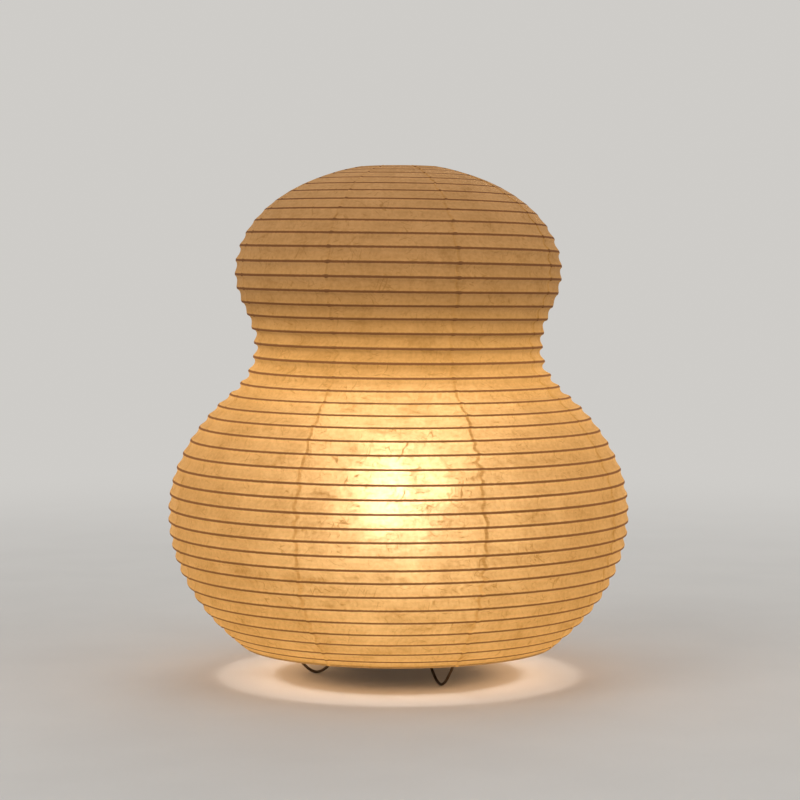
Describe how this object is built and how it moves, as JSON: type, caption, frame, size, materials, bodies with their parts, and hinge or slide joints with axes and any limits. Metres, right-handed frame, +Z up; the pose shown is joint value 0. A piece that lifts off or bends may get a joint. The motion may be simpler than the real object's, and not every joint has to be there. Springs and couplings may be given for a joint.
{
  "type": "paper table lamp",
  "caption": "Gourd-shaped paper lantern table lamp: pleated washi gores over a spiral bamboo rib, on a small wire stand with a lamp holder and bulb inside.",
  "frame": {"origin": "on the table, under the middle of the lamp", "axes": "+Z up along the lamp's axis, -Y towards the front, +X to the right of someone facing the front"},
  "size_m": [0.3781, 0.3781, 0.4198],
  "materials": {
    "washi_paper": "matt mulberry paper with long fibres, lit from inside",
    "split_bamboo": "bare split bamboo strip",
    "ring_steel": "plated steel wire",
    "plated_wire": "dark plated steel wire, satin",
    "painted_plate": "black paint, satin",
    "zinc": "zinc-plated steel",
    "bush_plastic": "matt black plastic",
    "holder_plastic": "dark moulded plastic, satin",
    "porcelain": "white glaze",
    "brass": "plain brass",
    "solder": "soft solder",
    "base_glass": "black glass",
    "cap_metal": "nickel-plated",
    "opal_glass": "opal white, lit"
  },
  "bodies": {
    "stand": {"leg_wire_1": "plated_wire", "leg_wire_2": "plated_wire", "leg_wire_3": "plated_wire", "base_plate": "painted_plate", "leg_clamp": "zinc", "washer": "zinc", "hub_nut": "zinc", "nipple": "zinc", "cord_bush": "bush_plastic", "stretcher": "plated_wire", "ferrule_1": "zinc", "ferrule_2": "zinc", "holder_spacer": "brass", "holder_base": "holder_plastic", "holder_locknut": "zinc", "holder_insulator": "porcelain", "holder_shell": "holder_plastic", "holder_collar": "holder_plastic", "holder_socket": "brass", "holder_contact": "brass"},
    "shade": {"shade_panel_1": "washi_paper", "shade_panel_2": "washi_paper", "shade_panel_3": "washi_paper", "shade_panel_4": "washi_paper", "shade_panel_5": "washi_paper", "shade_panel_6": "washi_paper", "shade_panel_7": "washi_paper", "shade_panel_8": "washi_paper", "bamboo_rib": "split_bamboo", "top_ring": "ring_steel"},
    "shade_hem": {"bottom_ring": "ring_steel"},
    "bulb_base": {"bulb_contact": "solder"},
    "bulb": {"bulb_insulator": "base_glass", "bulb_cap": "cap_metal", "bulb_globe": "opal_glass"}
  },
  "joints": [
    {"name": "shade_lift", "type": "slide", "parent": "stand", "child": "shade", "axis": [0, 0, 1], "range_m": [0, 0.4]},
    {"name": "shade_gather", "type": "slide", "parent": "shade", "child": "shade_hem", "axis": [0, 0, 1], "range_m": [0, 0.28], "deforming": ["shade_panel_1", "shade_panel_2", "shade_panel_3", "shade_panel_4", "shade_panel_5", "shade_panel_6", "shade_panel_7", "shade_panel_8", "bamboo_rib"]},
    {"name": "bulb_rise", "type": "slide", "parent": "stand", "child": "bulb_base", "axis": [0, 0, 1], "range_m": [0, 0.0146]},
    {"name": "bulb_turn", "type": "hinge", "parent": "bulb_base", "child": "bulb", "pos_m": [0, 0, 0.08], "axis": [0, 0, 1], "range_deg": [0, 1440]}
  ],
  "couplings": [
    {"joint": "bulb_rise", "follows": "bulb_turn", "m_per_rad": 0.00057757}
  ]
}
